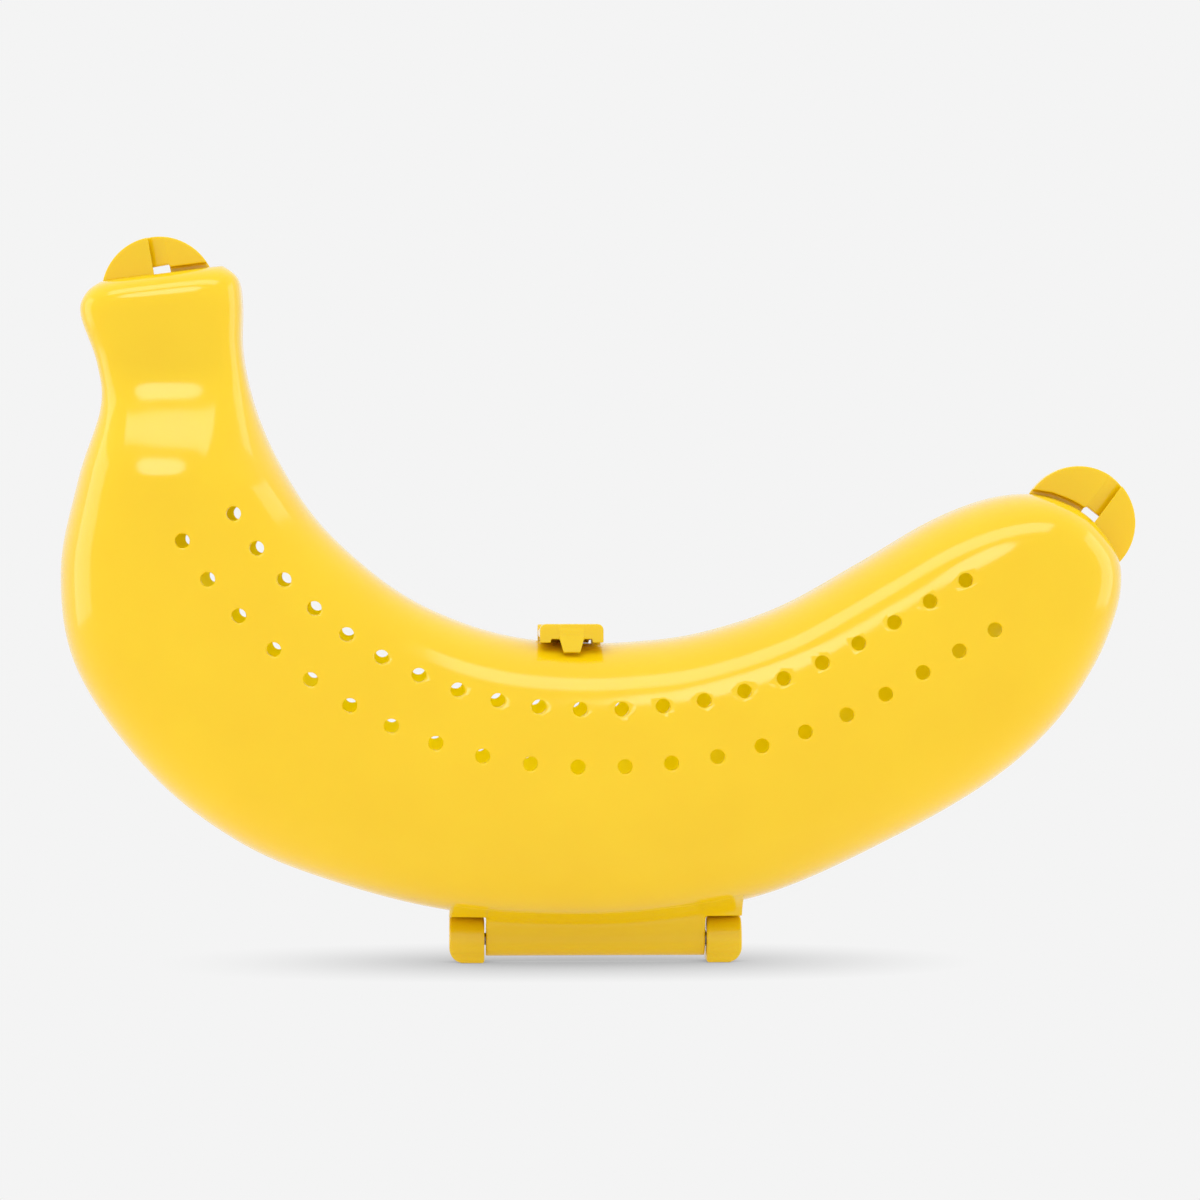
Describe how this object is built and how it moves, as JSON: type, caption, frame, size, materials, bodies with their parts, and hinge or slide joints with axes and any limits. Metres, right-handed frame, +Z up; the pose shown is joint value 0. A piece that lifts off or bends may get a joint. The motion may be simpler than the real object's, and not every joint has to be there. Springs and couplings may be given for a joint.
{
  "type": "banana carrying case",
  "caption": "Banana-shaped hard carrying case: two vented halves on a pin hinge, with split finger tabs at both ends and a clip latch on the concave edge.",
  "frame": {"origin": "middle of the bounding box in plan, at the surface the hinge feet stand on", "axes": "+X along the case from the stem to the tip, +Y from the front half to the rear half, square to the seam, +Z up from the hinge feet"},
  "size_m": [0.2147, 0.048, 0.1448],
  "materials": {
    "case_plastic": "glossy moulded",
    "pin_steel": "drawn wire"
  },
  "bodies": {
    "rear_half": {"rear_shell": "case_plastic", "left_knuckle": "case_plastic", "right_knuckle": "case_plastic", "hinge_pin": "pin_steel", "rear_stem_tab": "case_plastic", "rear_tip_tab": "case_plastic", "latch_ears": "case_plastic"},
    "front_half": {"front_shell": "case_plastic", "front_hinge_leaf": "case_plastic", "front_stem_tab": "case_plastic", "front_tip_tab": "case_plastic", "latch_catch": "case_plastic"},
    "latch": {"latch_clip": "case_plastic"}
  },
  "joints": [
    {"name": "front_open", "type": "hinge", "parent": "rear_half", "child": "front_half", "pos_m": [-0.001, 0, 0.0046], "axis": [1, 0, 0], "range_deg": [0, 180]},
    {"name": "latch_lift", "type": "hinge", "parent": "rear_half", "child": "latch", "pos_m": [-0.00607, 0.005, 0.06552], "axis": [-1, 0, 0], "range_deg": [0, 60]}
  ]
}
